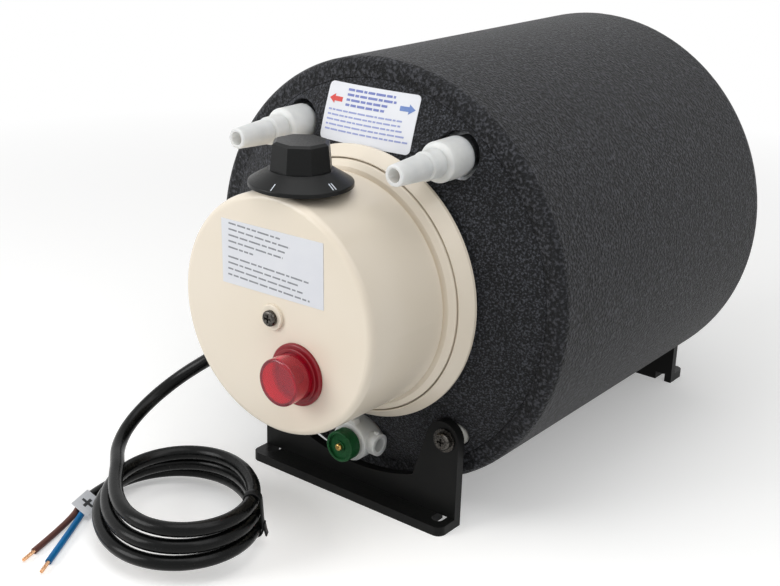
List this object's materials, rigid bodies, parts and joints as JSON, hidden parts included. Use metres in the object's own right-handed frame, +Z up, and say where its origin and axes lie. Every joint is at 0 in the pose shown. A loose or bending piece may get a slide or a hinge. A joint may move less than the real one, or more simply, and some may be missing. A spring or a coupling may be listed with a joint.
{
  "type": "storage water heater",
  "caption": "Small low-voltage storage water heater: foam-jacketed horizontal tank on two feet, with a round control cover, knob, lamp, hose tails, drain valve and coiled lead.",
  "frame": {"origin": "on the floor, midway between the four slots of the feet, under the tank's axis", "axes": "+Z up, +Y to the back along the tank's axis, +X to the right seen from the control side"},
  "size_m": [0.22, 0.4133, 0.2256],
  "materials": {
    "black_foam": "matt cross-linked foam",
    "cream_plastic": "fine moulded sheen",
    "black_plastic": "fine grain",
    "white_nylon": "slightly translucent",
    "red_plastic": "gloss",
    "red_lens": "gloss translucent",
    "clear_glass": "clear",
    "green_plastic": "satin",
    "brass": "bright",
    "steel": "as drawn",
    "dark_screw": "black zinc",
    "black_painted_steel": "satin powder coat",
    "grey_label": "printed film",
    "white_label": "printed film",
    "black_rubber": "smooth",
    "black_sheath": "satin PVC",
    "brown_core": "satin PVC",
    "blue_core": "satin PVC",
    "copper": "bright strands",
    "beige_board": "moulded",
    "galvanised": "zinc"
  },
  "bodies": {
    "heater": {"foam_wrap": "black_foam", "front_foam_disc": "black_foam", "rear_foam_disc": "black_foam", "tank_shell": "steel", "tank_front_dome": "steel", "tank_rear_dome": "steel", "tank_neck_ring": "steel", "element_gasket": "black_rubber", "element_plate": "steel", "element_plate_bolts": "galvanised", "heating_element": "steel", "element_terminals": "brass", "thermostat_pocket": "steel", "thermostat_bulb": "brass", "thermostat_capillary": "brass", "thermostat_body": "beige_board", "thermostat_bracket": "galvanised", "safety_cutout": "black_plastic", "terminal_block": "beige_board", "terminal_screws": "brass", "supply_wires": "brown_core", "element_wires": "blue_core", "control_cover": "cream_plastic", "cover_base_ring": "cream_plastic", "cover_pillar": "steel", "cover_screw": "dark_screw", "lamp_bezel": "red_plastic", "lamp_nut": "red_plastic", "lamp_lens": "red_lens", "lamp_bulb": "clear_glass", "rating_label": "grey_label", "connection_label": "white_label", "tank_pipe_stubs": "steel", "connector_seals": "black_rubber", "hot_outlet_connector": "white_nylon", "cold_inlet_connector": "white_nylon", "hot_outlet_tube": "steel", "cold_inlet_tube": "steel", "drain_valve_body": "white_nylon", "front_bracket": "black_painted_steel", "rear_bracket": "black_painted_steel", "mount_bosses": "steel", "bracket_spacers": "white_nylon", "bracket_washers": "dark_screw", "bracket_screws": "dark_screw", "cable_gland": "black_plastic", "power_cord_lead": "black_sheath", "power_cord_coil": "black_sheath", "cord_core_brown": "brown_core", "cord_core_blue": "blue_core", "cord_core_ends": "copper", "polarity_tag": "white_label", "cord_tie": "black_rubber"},
    "temperature_knob": {"control_knob": "black_plastic", "thermostat_spindle": "steel"},
    "drain_tap": {"drain_knob": "green_plastic", "drain_valve_stem": "brass", "drain_knob_screw": "brass"}
  },
  "joints": [
    {"name": "temperature_knob_turn", "type": "hinge", "parent": "heater", "child": "temperature_knob", "pos_m": [0, -0.165, 0.18], "axis": [0, 0, 1], "range_deg": [-270, 0]},
    {"name": "drain_tap_turn", "type": "hinge", "parent": "heater", "child": "drain_tap", "pos_m": [0, -0.127, 0.0296], "axis": [0, 1, 0], "range_deg": [0, 90]}
  ]
}
